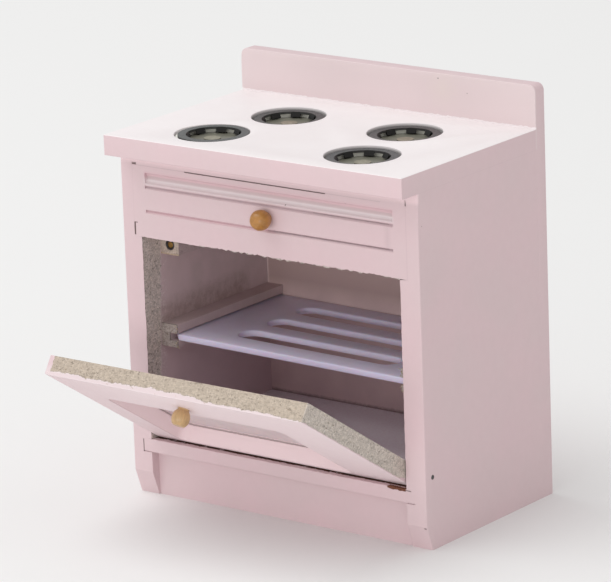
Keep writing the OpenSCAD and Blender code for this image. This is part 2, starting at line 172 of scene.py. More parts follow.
class Recipe:
    """The nodes of one finish. Patterns read the piece's own coordinates, in millimetres.

    On the door they are turned back about its hinge, as if it were shut, with the hinge at the
    origin."""

    def __init__(self, name, on_door=False):
        self.finish = bpy.data.materials.new(name)
        self.finish.use_nodes = True
        self.tree = self.finish.node_tree
        self.tree.nodes.clear()
        turn = -OPEN if on_door else 0.0
        shift = -(Matrix.Rotation(turn, 3, "X") @ HINGE) / MM if on_door else Vector()
        where = self.put("ShaderNodeTexCoord", {}).outputs["Object"]
        self.place = self.put("ShaderNodeMapping", {
            "Vector": where, "Location": shift, "Rotation": (turn, 0.0, 0.0),
            "Scale": (1 / MM, 1 / MM, 1 / MM)}).outputs[0]
        self.steady = self.axes(self.place)
        self.shaky = {}

    def put(self, kind, sockets, **settings):
        node = self.tree.nodes.new(kind)
        for key, value in settings.items():
            setattr(node, key, value)
        for key, value in sockets.items():
            if isinstance(value, bpy.types.NodeSocket):
                self.tree.links.new(value, node.inputs[key])
            else:
                node.inputs[key].default_value = value
        return node

    def axes(self, place):
        return dict(zip("xyz", self.put("ShaderNodeSeparateXYZ", {0: place}).outputs))

    def cloud(self, size, detail=2.0, roughness=0.5, stretch=None, turn=(0, 0, 0)):
        where = self.place
        if stretch:
            where = self.put("ShaderNodeMapping", {"Vector": where, "Scale": stretch,
                                                   "Rotation": turn}).outputs[0]
        return self.put("ShaderNodeTexNoise", {"Vector": where, "Scale": 1 / size,
                                               "Detail": detail, "Roughness": roughness}).outputs[0]

    def cells(self, size):
        return self.put("ShaderNodeTexVoronoi", {"Vector": self.place,
                                                 "Scale": 1 / size}).outputs["Distance"]

    def band(self, value, low, high, at_low=0.0, at_high=1.0):
        return self.put("ShaderNodeMapRange", {"Value": value, "From Min": low, "From Max": high,
                                               "To Min": at_low, "To Max": at_high}).outputs[0]

    def patches(self, size, detail=3.0):
        """Soft patches of that size, from nought to one."""
        return self.band(self.cloud(size, detail), 0.35, 0.65)

    def varied(self, size, low, high, detail=2.0):
        """A roughness that drifts from low to high over patches of that size."""
        return self.band(self.cloud(size, detail), 0.3, 0.7, low, high)

    def deep(self):
        """One on the faces that a piece's stamp marks as deep."""
        return self.put("ShaderNodeAttribute", {}, attribute_name=DEEP).outputs["Fac"]

    def sum(self, a, b, operation="ADD"):
        return self.put("ShaderNodeMath", {0: a, 1: b}, operation=operation).outputs[0]

    def less(self, a, b):
        return self.sum(a, b, "SUBTRACT")

    def times(self, a, b):
        return self.sum(a, b, "MULTIPLY")

    def most(self, a, b):
        return self.sum(a, b, "MAXIMUM")

    def mix(self, share, a, b):
        a, b = (c if isinstance(c, bpy.types.NodeSocket) else tuple(c) + (1.0,) for c in (a, b))
        return self.put("ShaderNodeMix", {0: share, 6: a, 7: b}, data_type="RGBA").outputs[2]

    def over(self, base, shade, mask, share):
        """The base under a shade, by that share of the mask."""
        return self.mix(self.times(mask, share), base, shade)

    def blend(self, share, a, b):
        return self.put("ShaderNodeMix", {0: share, 2: a, 3: b}, data_type="FLOAT").outputs[0]

    def shaken(self, amount, grain):
        """The axes with a little noise on them, for marks with uneven borders."""
        key = (amount, grain)
        if key not in self.shaky:
            cloud = self.put("ShaderNodeTexNoise", {
                "Vector": self.place, "Scale": 1 / grain, "Detail": 3.0, "Roughness": 0.65})
            middle = self.put("ShaderNodeVectorMath", {
                0: cloud.outputs["Color"], 1: (0.5, 0.5, 0.5)}, operation="SUBTRACT")
            moved = self.put("ShaderNodeVectorMath", {
                0: middle.outputs[0], 1: (3.2 * amount,) * 3, 2: self.place},
                operation="MULTIPLY_ADD")
            self.shaky[key] = self.axes(moved.outputs[0])
        return self.shaky[key]

    def zone(self, soft=0.05, shake=0.0, grain=0.8, **spans):
        """One inside a box given by x, y and z spans, with a soft border, and nought outside."""
        axes = self.shaken(shake, grain) if shake else self.steady
        share = 1.0
        for axis, (low, high) in spans.items():
            if low is not None:
                share = self.times(self.band(axes[axis], low - soft, low + soft), share)
            if high is not None:
                inside = self.band(axes[axis], high - soft, high + soft, 1.0, 0.0)
                share = self.times(inside, share)
        return share

    def relief(self, height, strength, depth, below=None):
        sockets = {"Height": height, "Strength": strength, "Distance": depth * MM}
        if below:
            sockets["Normal"] = below
        return self.put("ShaderNodeBump", sockets).outputs[0]

    def close(self, base, roughness, normal, **constants):
        sockets = {"Base Color": base, "Roughness": roughness, "Normal": normal}
        sockets.update({key.replace("_", " "): value for key, value in constants.items()})
        shader = self.put("ShaderNodeBsdfPrincipled", sockets)
        self.put("ShaderNodeOutputMaterial", {"Surface": shader.outputs[0]})
        return self.finish


def tint(value, red, green=None, blue=None):
    """A colour made darker or lighter, by one share or by one for each channel."""
    shares = (red, red if green is None else green, red if blue is None else blue)
    return tuple(c * share for c, share in zip(value, shares))


class Paint:
    """Brushed paint that marks, bare patches and cracks are added to, layer by layer."""

    def __init__(self, name, main, thin, on_door=False):
        self.recipe = r = Recipe(name, on_door)
        base = r.mix(r.patches(13), main, thin)
        fine = r.band(r.cloud(1.6, 3.0, 0.6), 0.3, 0.7, 0.0, 0.22)
        base = r.mix(fine, base, tint(main, 0.93, 0.92, 0.92))
        dots = r.times(r.band(r.cells(4.6), 0.018, 0.03, 1.0, 0.0),
                       r.band(r.cloud(7), 0.58, 0.62))
        self.base = r.over(base, tint(main, 0.3, 0.25, 0.25), dots, 0.6)
        self.rough = r.varied(2.5, 0.42, 0.55)
        self.peel = r.sum(r.times(r.cloud(0.5, 2.0), 0.25), r.cloud(4, 1.0))
        self.bare = 0.0
        self.grit = 0.5
        self.dents = 0.0

    def over(self, shade, mask, share):
        """Covers the paint with a shade, by that share of the mask."""
        self.base = self.recipe.over(self.base, shade, mask, share)

    def mark(self, share, shade, **where):
        """Tints the paint where a zone lies, by the share given."""
        self.over(shade, self.recipe.zone(**where), share)

    def marks(self, depth, *rows):
        """Marks at one depth; a row holds share, shade, soft border, shake, x and z."""
        for share, shade, soft, shake, x, z in rows:
            self.mark(share, shade, soft=soft, shake=shake, x=x, y=depth, z=z)

    def crack(self, share, shade, **where):
        """A dark mark that also sinks into the paint."""
        mask = self.recipe.zone(**where)
        self.over(shade, mask, share)
        self.dents = self.recipe.most(self.dents, mask)

    def strip(self, mask, board, pores, contrast=1.0):
        """Bare board where the mask is one, with a pale broken lip of paint round it."""
        r = self.recipe
        wood, grit = bare_layers(r, board, pores, contrast)
        lip = r.times(r.band(mask, 0.05, 0.45), r.band(mask, 0.5, 0.6, 1.0, 0.0))
        self.over((0.84, 0.77, 0.75), lip, 0.45)
        worn = r.band(mask, 0.42, 0.58)
        self.base = r.mix(worn, self.base, wood)
        self.rough = r.blend(worn, self.rough, 0.92)
        self.bare = r.most(self.bare, worn)
        self.grit = r.blend(worn, self.grit, grit)

    def close(self, peel=0.25):
        """Ends the finish, with grain on bare board, brush marks on paint and sunk cracks."""
        r = self.recipe
        grain = r.times(r.times(r.sum(self.grit, -0.5), self.bare), 0.22)
        skin = r.times(r.times(self.peel, 0.12 * peel), r.less(1.0, self.bare))
        edge = r.times(self.bare, -0.05)
        height = r.sum(r.sum(grain, skin), r.sum(edge, r.times(self.dents, -0.15)))
        return r.close(self.base, self.rough, r.relief(height, 1.0, 1.0), Specular_IOR_Level=0.35)


def bare_layers(r, board, pores, contrast=1.0):
    """Sawn fibreboard: short fibres that cross, pale flecks and dark pores."""
    along = r.cloud(0.30, 4.0, 0.75, stretch=(0.3, 1.0, 1.0), turn=(0.0, 0.25, 0.3))
    across = r.cloud(0.32, 3.0, 0.7, stretch=(1.0, 0.35, 0.5), turn=(0.4, -0.5, -0.6))
    fibre = r.sum(r.times(along, 0.6), r.times(across, 0.4))
    base = r.mix(r.band(fibre, 0.38, 0.6), tint(board, 1 - 0.30 * contrast),
                 tint(board, 1 + 0.20 * contrast))
    patches = r.band(r.cloud(1.6, 3.0, 0.6), 0.4, 0.65)
    base = r.over(base, tint(board, 0.84, 0.83, 0.82), patches, 0.3)
    holes = r.band(r.cloud(0.55, 3.0, 0.75), 0.33, 0.40, 1.0, 0.0)
    base = r.over(base, pores, holes, 0.65 * contrast)
    flecks = r.band(r.cloud(0.45, 3.0, 0.75), 0.57, 0.64)
    base = r.over(base, tint(board, 1.32, 1.36, 1.45), flecks, 0.6 * contrast)
    return base, r.sum(fibre, r.times(holes, -0.5))


def front_cracks(paint, c):
    """Gaps and chips on the oven's front, where the boards are let into each other, with a hairline
    of painted shade and a band of painted highlight under the worktop's overhang.
    """
    for share, soft, shake, x, z in (
            (0.9, 0.03, 0.03, (-35.0, -34.66), (57.0, 59.7)),
            (0.6, 0.03, 0.03, (-34.9, -34.1), (59.6, 59.76)),
            (0.85, 0.04, 0.06, (-34.95, -33.9), (72.1, 72.55)),
            (0.9, 0.03, 0.04, (34.88, 35.1), (71.9, 73.1)),
            (0.8, 0.03, 0.04, (-35.35, -35.16), (9.6, 12.4)),
            (0.7, 0.03, 0.08, (32.7, 34.3), (12.3, 12.46)),
            (0.55, 0.03, 0.06, (33.7, 33.86), (0.4, 1.8)),
            # Painted shade: a dark hairline along the drawer front, just under the worktop's
            # overhang
            (0.9, 0.03, 0.04, (-21.1, 15.1), (71.9, 72.1))):
        paint.crack(share, c.soot, soft=soft, shake=shake, x=x, y=FRONT, z=z)
    paint.crack(0.6, c.soot, soft=0.03, shake=0.06, x=(37.3, 37.8), y=(-44.0, -42.6),
                z=(4.8, 5.05))
    seam = tint(c.pink, 0.6, 0.55, 0.58)
    # More painted shade along that hairline under the worktop
    paint.marks(FRONT, (0.35, tint(c.pink, 0.5), 0.05, 0.05, (-34.1, 28.8), (71.98, 72.1)))
    # Painted highlight: lighter paint on the front just under the worktop, against the overhang's
    # shade
    paint.mark(0.85, tint(c.pink, 1.26, 1.28, 1.27), soft=0.4, y=(-43.6, -43.0), z=(72.6, None))
    paint.marks(FRONT, (0.12, seam, 0.08, 0.0, (-35.05, -34.9), (59.7, 72.3)),
                (0.20, seam, 0.08, 0.0, (34.9, 35.05), (56.7, 72.0)))


def side_paint(name, c):
    """The side panels: pink outside, thin grey paint inside with painted shade low down, bare
    behind the front edge.
    """
    paint = Paint(name, c.pink, c.thin_pink)
    front_cracks(paint, c)
    r = paint.recipe
    inside = r.zone(soft=0.03, x=INSIDE, y=(-43.3, None), z=(12.5, UNDER_TOP))
    wall = r.mix(r.patches(5), c.wall, tint(c.wall, 0.9, 0.92, 0.9))
    # Painted shade: the inner walls darker towards the bottom
    low = r.band(r.steady["z"], 20.0, 46.0, 1.0, 0.0)
    wall = r.over(wall, tint(c.wall, 0.95, 0.92, 0.96), low, 0.8)
    dirt = r.zone(soft=1.6, shake=0.9, grain=3.0, y=(-39.0, -9.0), z=(35.5, 41.0))
    dirt = r.times(dirt, r.band(r.cloud(1.3, 4.0, 0.7), 0.35, 0.6, 0.35, 1.0))
    wall = r.over(wall, tint(c.wall, 0.44, 0.40, 0.34), dirt, 0.6)
    paint.base = r.mix(inside, paint.base, wall)
    slope = r.sum(r.steady["y"], r.times(r.sum(r.steady["z"], -54.6), -0.0586))
    uneven = r.times(r.sum(r.cloud(1.1, 4.0, 0.7), -0.5), 2.0)
    edge = r.band(r.sum(slope, uneven), -38.0, -37.0, 1.0, 0.0)
    flecks = r.times(r.band(slope, -37.4, -34.6, 1.0, 0.0),
                     r.band(r.cloud(0.5, 3.0, 0.7), 0.52, 0.6))
    bare = r.times(inside, r.most(edge, r.times(flecks, 0.62)))
    paint.strip(bare, c.wall_board, tint(c.pores, 0.6), 1.45)
    return paint.close()


def drawer_paint(name, c):
    """The false drawer front, with painted shade and a painted highlight in its mouldings, dirt and
    painted shade in its grooves, and torn paint at its lower edge.
    """
    paint = Paint(name, c.pink, c.thin_pink)
    front_cracks(paint, c)
    wide = (-31.8, 31.8)
    dirt_and_shade = tint(c.pink, 0.52, 0.50, 0.52)
    paint.marks((-43.6, -42.2),
                # Painted shade on the cove's upper half
                (0.5, tint(c.pink, 0.97, 0.80, 0.84), 0.35, 0.0, wide, (69.5, 70.9)),
                # Painted highlight on the cove's lower half
                (0.7, (0.80, 0.745, 0.75), 0.35, 0.0, wide, (68.2, 69.3)),
                # The grooves' dark lines: partly dirt, partly painted shade
                (0.6, dirt_and_shade, 0.16, 0.04, wide, (67.3, 67.75)),
                (0.55, tint(c.pink, 0.75, 0.55, 0.6), 0.24, 0.0, (-31.8, 2.0), (62.05, 62.55)),
                (0.7, dirt_and_shade, 0.14, 0.04, (0.0, 31.6), (62.1, 62.55)),
                (0.5, c.soot, 0.06, 0.06, (11.7, 30.6), (67.5, 67.66)),
                (0.5, c.soot, 0.06, 0.06, (1.5, 30.6), (62.3, 62.46)),
                # Painted shade: a soft upright band at the right end of the mouldings
                (0.22, dirt_and_shade, 0.5, 0.0, (29.8, 30.9), (62.5, 67.0)),
                (0.8, c.soot, 0.04, 0.05, (4.75, 4.95), (68.2, 68.45)),
                (0.8, c.soot, 0.04, 0.05, (19.95, 20.15), (70.4, 70.6)))
    r = paint.recipe
    under = r.zone(soft=0.03, y=(-42.9, None), z=(None, 56.9))
    paint.base = r.mix(under, paint.base, c.wall_board)
    torn = r.zone(soft=0.06, shake=0.26, grain=0.8, x=(-18.0, 33.2), z=(None, 56.78))
    paint.strip(r.times(torn, 0.8), tint(c.wall_board, 0.8), tint(c.pores, 0.7), 1.4)
    paint.mark(0.8, tint(c.wall, 0.8), soft=0.05, y=(-42.6, None))
    return paint.close()


def worktop_paint(name, c):
    """Nearly white on top and in the pockets, pink round the sides. The white is partly whiter
    paint, partly a painted sheen; the pocket walls carry painted shade low down.
    """
    paint = Paint(name, c.pink, c.thin_pink)
    r = paint.recipe
    top = r.zone(soft=0.04, z=(78.96, None))
    pockets = r.zone(soft=0.1, x=(-37.0, 37.0), y=(-46.5, -3.0))
    # Whiter paint, partly a painted sheen
    white = r.mix(r.patches(9), c.top_white_and_sheen, tint(c.top_white_and_sheen, 0.985, 0.98, 0.98))
    paint.base = r.mix(r.most(top, pockets), paint.base, white)
    paint.mark(0.5, tint(c.pink, 0.8), soft=0.05, z=(None, 74.75), y=(-48.2, None))
    # Painted shade: the pocket walls darken down towards the rings, except in the front left
    # pocket, whose ring lies flush
    depth = r.times(r.band(r.steady["z"], 78.5, 78.98, 1.0, 0.0), pockets)
    flush = r.zone(soft=0.05, x=(None, -10.0), y=(None, -26.5))
    paint.over((0.30, 0.285, 0.28), r.times(depth, r.less(1.0, flush)), 0.75)
    return paint.close()


def back_paint(name, c):
    """The back panel: pink above the worktop, thin brownish paint inside the oven, with painted
    shade low down and above the shelf.
    """
    paint = Paint(name, c.pink, c.thin_pink)
    r = paint.recipe
    near = (None, -1.4)
    paint.mark(0.8, tint(c.pink, 1.02, 1.13, 1.09), soft=0.05, y=near, z=(UNDER_TOP, None))
    paint.mark(0.8, c.top_white_and_sheen, soft=0.06, shake=0.22, grain=1.2, y=near, z=(79.0, 79.4))
    paint.mark(0.42, (0.74, 0.66, 0.57), soft=2.2, shake=0.8, grain=4.0, x=(12.5, 17.5),
               y=near, z=(82.5, 87.5))
    paint.marks(near, (0.8, c.soot, 0.05, 0.05, (13.6, 13.85), (87.0, 87.25)),
                (0.7, c.soot, 0.05, 0.05, (20.9, 21.1), (84.6, 84.8)))
    inside = r.zone(soft=0.05, x=INSIDE, y=near, z=(10.0, UNDER_TOP))
    wall = r.mix(r.patches(6), tint(c.wall, 1.2, 1.17, 1.1), tint(c.wall, 1.06, 1.02, 0.98))
    # Painted shade: darker towards the bottom
    low = r.band(r.steady["z"], 14.0, 40.0, 1.0, 0.0)
    wall = r.over(wall, tint(c.wall, 0.85, 0.8, 0.85), low, 0.4)
    # Painted shade: darker and browner above the shelf
    above_shelf = r.band(r.steady["z"], 34.5, 38.5)
    wall = r.over(wall, tint(c.wall, 0.66, 0.60, 0.56), above_shelf, 0.9)
    seam = r.zone(soft=0.25, shake=0.1, x=(None, -32.9), z=(35.0, UNDER_TOP))
    wall = r.over(wall, tint(c.wall, 1.4, 1.5, 1.45), seam, 0.6)
    # Darker along the foot of the inner back wall, next to the floor
    dark_foot = r.zone(soft=0.35, shake=0.25, z=(None, 13.1))
    wall = r.over(wall, c.soot, dark_foot, 0.6)
    paint.base = r.mix(inside, paint.base, wall)
    return paint.close()


def floor_paint(name, c):
    """The oven floor: pink front, dark ledge under the door (partly bare board, partly painted
    shade of the gap under the door's foot), speckled grey inside.
    """
    paint = Paint(name, c.pink, c.thin_pink)
    front_cracks(paint, c)
    r = paint.recipe
    inside = r.zone(soft=0.3, y=(-39.5, None), z=(12.4, None))
    grey = r.mix(r.band(r.cloud(0.6, 4.0, 0.7), 0.4, 0.62), tint(c.wall, 1.42, 1.66, 1.72),
                 tint(c.wall, 1.5, 1.88, 1.9))
    specks = r.band(r.cells(1.7), 0.05, 0.09, 1.0, 0.0)
    grey = r.over(grey, tint(c.wall, 1.4), specks, 0.5)
    paint.base = r.mix(inside, paint.base, grey)
    # The ledge under the door's foot: near black, partly bare board and partly painted shade of the
    # gap there
    ledge = r.zone(soft=0.1, shake=0.3, grain=1.0, y=(-42.0, -39.3), z=(12.45, None))
    paint.strip(ledge, tint(c.soot, 1.6, 1.2, 1.1), c.soot)
    chip = r.zone(soft=0.1, shake=0.35, grain=1.6, x=(28.3, 32.9), y=(None, -42.3),
                  z=(12.15, None))
    paint.strip(chip, tint(c.soot, 2.4, 1.7, 1.3), c.soot)
    return paint.close()


def door_paint(name, c):
    """The door: bare at its top edge and its right end, where the paint breaks off unevenly, with
    painted light on its outer face and on its window's reveals.
    """
    paint = Paint(name, c.pink, c.thin_pink, on_door=True)
    r = paint.recipe
    x, y, z = (r.steady[axis] for axis in "xyz")
    uneven = r.times(r.sum(r.cloud(0.9, 4.0, 0.68), -0.5), 1.5)
    slow = r.times(r.sum(r.cloud(5.0, 2.0, 0.5), -0.5), 1.4)
    # How far the outer face's paint reaches over the top edge: less to the right of the knob
    reach = r.blend(r.band(x, 3.5, 8.0), r.band(x, -30.0, -5.0, 0.8, 1.15), 0.42)
    depth = r.less(r.sum(y, DOOR_FACE), reach)
    top = r.band(r.sum(r.sum(depth, uneven), slow), -0.3, 0.3)
    top = r.times(top, r.zone(soft=0.06, z=(40.72, None)))
    top = r.times(top, r.zone(soft=0.08, shake=0.25, x=(-31.7, None)))
    # The right end is bare above a slanting border, apart from the brim of the outer face
    slant = r.sum(r.sum(z, r.times(r.sum(y, 0.69), 3.2)), 1.0)
    end = r.band(r.sum(slant, r.times(uneven, 2.5)), -0.4, 0.4)
    brim = r.band(r.sum(r.sum(y, 2.22), r.times(uneven, 0.5)), -0.06, 0.06)
    end = r.times(r.times(end, brim), r.zone(soft=0.05, x=(32.72, None)))
    # Painted light: the outer face's paint lightened, more towards the right, for the light the
    # floor throws up onto it
    outer = r.zone(soft=0.06, y=(None, -2.36))
    light = r.blend(r.band(x, -28.0, -4.0), 0.45, 0.95)
    paint.over((0.84, 0.71, 0.725), outer, light)
    window = {"x": (-26.6, 19.3), "z": (-0.6, 28.3)}
    # Painted highlight: lighter paint on the window's reveals, against the shade of the door above
    # them
    paint.mark(0.9, (0.92, 0.755, 0.77), soft=0.06, y=(-2.3, 1.6), **window)
    # A dark line round the window sheet: partly its gap, partly painted shade
    paint.crack(0.5, c.soot, soft=0.06, shake=0.08, y=(1.15, 1.48), **window)
    skirt = r.times(r.zone(soft=0.1, z=(40.55, None)), r.zone(soft=0.5, y=(None, -0.6)))
    paint.over((0.76, 0.69, 0.695), skirt, 0.45)
    paint.strip(top, c.board, c.pores, 0.85)
    paint.strip(end, tint(c.board, 1.12, 1.18, 1.28), tint(c.pores, 0.75), 1.3)
    return paint.close(0.4)


def rail_paint(name, c):
    """A shelf rail: thin grey paint along it, torn bare board at its front end."""
    paint = Paint(name, tint(c.wall, 0.95), tint(c.wall, 0.8, 0.82, 0.78))
    front = paint.recipe.zone(soft=0.1, shake=0.25, y=(None, -37.9))
    paint.strip(front, tint(c.board, 0.80, 0.82, 0.92), c.pores, 1.4)
    return paint.close()


def bare_board(name, board, pores, wall):
    """Bare board at the front end, thin paint along the rest."""
    r = Recipe(name)
    wood, grit = bare_layers(r, board, pores)
    wood = r.over(wood, wall, r.zone(soft=0.06, shake=0.2, y=(-37.3, None)), 0.85)
    rim = r.zone(soft=0.15, shake=0.15, z=(None, 52.1), y=(None, -37.2))
    wood = r.over(wood, tint(board, 0.8, 0.68, 0.45), rim, 0.5)
    return r.close(wood, r.band(grit, 0.0, 1.0, 0.95, 0.85), r.relief(grit, 1.0, 0.2),
                   Specular_IOR_Level=0.2)


def turned_wood(name, maple, on_door=False):
    """Lacquered wood with its grain along the knob's axis."""
    r = Recipe(name, on_door)
    grain = r.cloud(0.6, 3.0, 0.6, stretch=(1.0, 0.16, 1.0))
    fine = r.cloud(0.16, 2.0, 0.5, stretch=(1.0, 0.1, 1.0))
    base = r.mix(r.band(grain, 0.35, 0.65), tint(maple, 0.86), tint(maple, 1.1))
    base = r.mix(r.band(fine, 0.45, 0.7, 0.0, 0.3), base, tint(maple, 0.7, 0.64, 0.55))
    return r.close(base, r.band(grain, 0.3, 0.7, 0.32, 0.45), r.relief(fine, 0.5, 0.02),
                   Coat_Weight=0.2, Coat_Roughness=0.25)


def moulded_plastic(name, lilac):
    """Slightly milky plastic, with painted shade: darker towards the right and along its front rim.
    """
    r = Recipe(name)
    base = r.mix(r.patches(6, 2.0), lilac, tint(lilac, 0.95))
    # Painted shade: darker towards the right
    right = r.band(r.steady["x"], 4.0, 28.0, 0.0, 0.1)
    base = r.mix(right, base, tint(lilac, 0.76, 0.70, 0.76))
    # Painted shade: darker, and a little bluer, along the front rim
    rim = r.zone(soft=0.15, y=(None, -37.6))
    base = r.over(base, tint(lilac, 0.86, 0.88, 0.92), rim, 0.6)
    return r.close(base, r.varied(2, 0.28, 0.36), r.relief(r.cloud(1.2, 2.0), 0.3, 0.05),
                   Subsurface_Weight=0.3, Subsurface_Scale=0.002)


def frosted_sheet(name, pane):
    """A thin milky sheet with a fine tooth to it."""
    r = Recipe(name, on_door=True)
    base = r.mix(r.patches(5), pane, tint(pane, 0.92))
    return r.close(base, r.varied(1.5, 0.4, 0.55), r.relief(r.cloud(0.25, 2.0), 0.5, 0.02),
                   Subsurface_Weight=0.2, Subsurface_Scale=0.0008)


def burner_steel(name, steel):
    """Dark steel with a grey bloom on its flat band, and bent teeth made almost black, partly as
    painted shade.
    """
    r = Recipe(name)
    cool = r.band(r.steady["x"], -24.0, 22.0)
    band = r.mix(cool, tint(steel, 0.98, 1.02, 1.0), tint(steel, 1.02, 0.97, 1.0))
    stain = r.band(r.cloud(0.7, 4.0, 0.7), 0.38, 0.66)
    base = r.over(band, tint(steel, 0.55), stain, 0.35)
    # Painted shade, in part: the bent teeth made almost black
    base = r.over(base, tint(steel, 0.12, 0.11, 0.1), r.deep(), 0.95)
    return r.close(base, r.varied(0.5, 0.36, 0.5, 3.0), r.relief(r.cloud(0.2, 3.0, 0.6), 0.6, 0.02),
                   Metallic=0.75)


def pressed_cup(name, shade):
    """Bright sheet metal, its brightness partly a painted reflection, made olive and dark at the
    bottom of the bowl by painted shade and a painted reflection of the ring's underside.
    """
    r = Recipe(name)
    # Painted shade and painted reflection: the bowl's bottom darkened to olive
    base = r.over(shade, tint(shade, 0.14, 0.135, 0.10), r.deep(), 0.9)
    return r.close(base, r.varied(0.9, 0.32, 0.42), r.relief(r.cloud(0.8, 1.0), 0.3, 0.01),
                   Metallic=0.25)


def metal(name, shade, rough_low, rough_high, stain):
    """Small metal parts, stained and finely scratched."""
    r = Recipe(name)
    base = r.mix(r.band(r.cloud(0.9, 4.0, 0.65), 0.35, 0.68), shade, stain)
    scratch = r.cloud(0.18, 2.0, 0.5, stretch=(1.0, 0.12, 1.0))
    return r.close(base, r.varied(0.7, rough_low, rough_high, 3.0), r.relief(scratch, 0.5, 0.01),
                   Metallic=1.0)


FINISHES = {
    "oven_boards": lambda name, c: Paint(name, c.pink, c.thin_pink).close(),
    "oven_sides": side_paint,
    "oven_drawer": drawer_paint,
    "oven_worktop": worktop_paint,
    "oven_back": back_paint,
    "oven_floor": floor_paint,
    "oven_door": door_paint,
    "oven_rails": rail_paint,
    "oven_bare_board": lambda name, c: bare_board(name, tint(c.board, 1.05, 1.03, 1.08), c.pores,
                                                  tint(c.wall, 0.9)),
    "oven_fibres": lambda name, c: bare_board(name, tint(c.board, 1.1), c.pores,
                                              tint(c.board, 1.1)),
    "oven_maple": lambda name, c: turned_wood(name, c.maple),
    "oven_pale_maple": lambda name, c: turned_wood(name, c.pale_maple, True),
    "oven_lilac": lambda name, c: moulded_plastic(name, c.lilac),
    "oven_pane": lambda name, c: frosted_sheet(name, c.pane),
    "oven_burner": lambda name, c: burner_steel(name, c.steel),
    "oven_steel": lambda name, c: metal(name, tint(c.steel, 1.4), 0.35, 0.5, tint(c.steel, 0.8)),
    "oven_cup": lambda name, c: pressed_cup(name, c.cup),
    "oven_brass": lambda name, c: metal(name, c.brass, 0.35, 0.5, tint(c.brass, 0.7)),
    "oven_bright_brass": lambda name, c: metal(name, (0.62, 0.38, 0.12), 0.3, 0.4,
                                               (0.4, 0.24, 0.08)),
}


def finish(name):
    """The finish of that name, made the first time that a piece asks for it."""
    known = bpy.data.materials.get(name)
    return known or FINISHES[name](name, bpy.context.scene.oven_colours)


# Shaping

X, Z = Vector((1, 0, 0)), Vector((0, 0, 1))
ALMOST_FLAT = 0.006  # radians; an edge that bends less lies in a flat face


def on(value, level):
    """Whether a coordinate lies at that level."""
    return abs(value - level) < TOUCH


def copy_of(node):
    """A CAD node's shape as a clean mesh: doubles merged and flat faces made whole."""
    mesh = frame["nodes"][node].data.copy()
    if "custom_normal" in mesh.attributes:
        mesh.attributes.remove(mesh.attributes["custom_normal"])
    shape = bmesh.new()
    shape.from_mesh(mesh)
    bpy.data.meshes.remove(mesh)
    bmesh.ops.remove_doubles(shape, verts=shape.verts, dist=2e-6)
    bmesh.ops.dissolve_limit(shape, angle_limit=math.radians(0.4), use_dissolve_boundaries=False,
                             verts=shape.verts, edges=shape.edges)
    return shape


def sharp_edges(shape, test, angle=30.0):
    """The edges that bend by more than angle and whose middle passes test."""
    return [edge for edge in shape.edges
            if len(edge.link_faces) == 2 and edge.calc_face_angle(0.0) > math.radians(angle)
            and test((edge.verts[0].co + edge.verts[1].co) / 2)]


def round_off(shape, edges, radius, segments=3):
    bmesh.ops.bevel(shape, geom=edges, offset=radius, offset_type="OFFSET", segments=segments,
                    profile=0.5, affect="EDGES", clamp_overlap=True, material=-1)


def smooth_curves(shape, limit=16.0):
    """Faces of a curve shade smooth, flat faces stay flat, and corners stay crisp."""
    limit = math.radians(limit)
    for edge in shape.edges:
        angle = edge.calc_face_angle(0.0) if len(edge.link_faces) == 2 else 0.0
        edge.smooth = angle < limit
    for face in shape.faces:
        face.smooth = any(
            len(edge.link_faces) == 2 and ALMOST_FLAT < edge.calc_face_angle(0.0) < limit
            for edge in face.edges)


def slice_across(shape, axis, low, high, step):
    """Cuts a shape crosswise again and again, so that its long edges can be torn."""
    count = max(2, round((high - low) / step))
    for k in range(count + 1):
        everything = shape.verts[:] + shape.edges[:] + shape.faces[:]
        bmesh.ops.bisect_plane(shape, geom=everything, dist=1e-7, plane_no=axis,
                               plane_co=axis * (low + (high - low) * k / count))


def wander(where, grain, seed=0.0):
    """Noise from about -1 to 1 that changes over the length grain."""
    shift = Vector((seed, seed * 0.7, seed * 1.3))
    return noise.noise(where / grain + shift) * 1.4 + noise.noise(where / grain * 2.7 + shift) * 0.6


def tear(shape, test, along, amount, grain, seed=0.0):
    """Moves the points that pass test along a direction, unevenly, as a saw tears an edge."""
    for vert in shape.verts:
        share = test(vert.co)
        if share:
            vert.co += along * (wander(vert.co, grain, seed) * amount * share)


def lathe(profile, at):
    """Spins a profile of (radius, height) points, in millimetres, about the Y axis through at.

    Heights run towards the front."""
    steps = bpy.context.scene.oven_sizes.lathe_steps
    shape = bmesh.new()
    points = [shape.verts.new((radius * MM, 0.0, height * MM)) for radius, height in profile]
    line = [shape.edges.new(pair) for pair in zip(points, points[1:])]
    bmesh.ops.spin(shape, geom=points + line, cent=(0, 0, 0), axis=(0, 0, 1), dvec=(0, 0, 0),
                   angle=math.tau, steps=steps, use_merge=True, use_duplicate=False)
    bmesh.ops.remove_doubles(shape, verts=shape.verts, dist=1e-6)
    bmesh.ops.recalc_face_normals(shape, faces=shape.faces)
    bmesh.ops.rotate(shape, verts=shape.verts, cent=(0, 0, 0),
                     matrix=Matrix.Rotation(math.radians(90), 3, "X"))
    bmesh.ops.translate(shape, verts=shape.verts, vec=at)
    return shape


def swing(shape, angle):
    """Turns a shape about the door's hinge: by -OPEN to shut it, by OPEN to open it again."""
    bmesh.ops.rotate(shape, verts=shape.verts, cent=HINGE, matrix=Matrix.Rotation(angle, 3, "X"))


def scatter(k, step=0.618, start=0.0):
    """The k-th of a row of numbers that spread well from 0 to 1."""
    return (k * step + start) % 1.0


